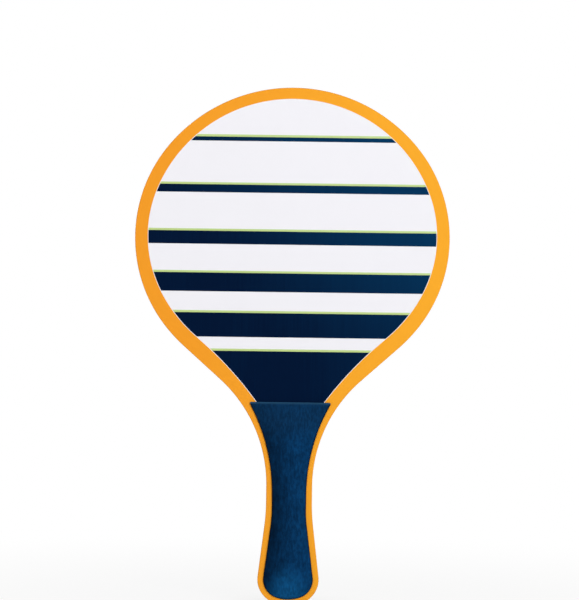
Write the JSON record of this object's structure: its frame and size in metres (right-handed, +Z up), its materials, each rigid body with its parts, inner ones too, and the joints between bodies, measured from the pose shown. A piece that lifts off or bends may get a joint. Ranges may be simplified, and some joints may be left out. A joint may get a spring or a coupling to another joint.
{
  "type": "beach game paddle",
  "caption": "Flat wooden bat with an oval striped blade and a waisted handle with foam grip pads, for hitting a small ball on the beach.",
  "frame": {"origin": "middle of the hand grip, halfway through the thickness of the board", "axes": "+Z up the handle to the tip of the blade, +X across the blade, -Y out of the front face"},
  "size_m": [0.235, 0.0158, 0.3866],
  "materials": {
    "core_wood": "plywood veneer, cut edge sealed with dark navy paint",
    "cross_wood": "cross-grain plywood veneer, cut edge sealed with dark navy paint",
    "face_wood": "plywood face veneer with a sanded edge, sealed with dark navy paint",
    "orange_print": "satin printed coat",
    "white_print": "satin printed coat",
    "navy_print": "satin printed coat",
    "lime_print": "satin printed coat",
    "glue_film": "clear amber glue sheet",
    "grip_foam": "matte closed-cell foam with a fine skin"
  },
  "bodies": {
    "root": {"core_ply": "core_wood", "front_cross_ply": "cross_wood", "rear_cross_ply": "cross_wood", "front_face_ply": "face_wood", "rear_face_ply": "face_wood", "front_border_print": "orange_print", "rear_border_print": "orange_print", "front_field_print": "white_print", "rear_field_print": "white_print", "front_band_print": "navy_print", "rear_band_print": "navy_print", "front_line_print": "lime_print", "rear_line_print": "lime_print", "front_grip_adhesive": "glue_film", "rear_grip_adhesive": "glue_film", "front_grip_pad": "grip_foam", "rear_grip_pad": "grip_foam"}
  },
  "joints": []
}
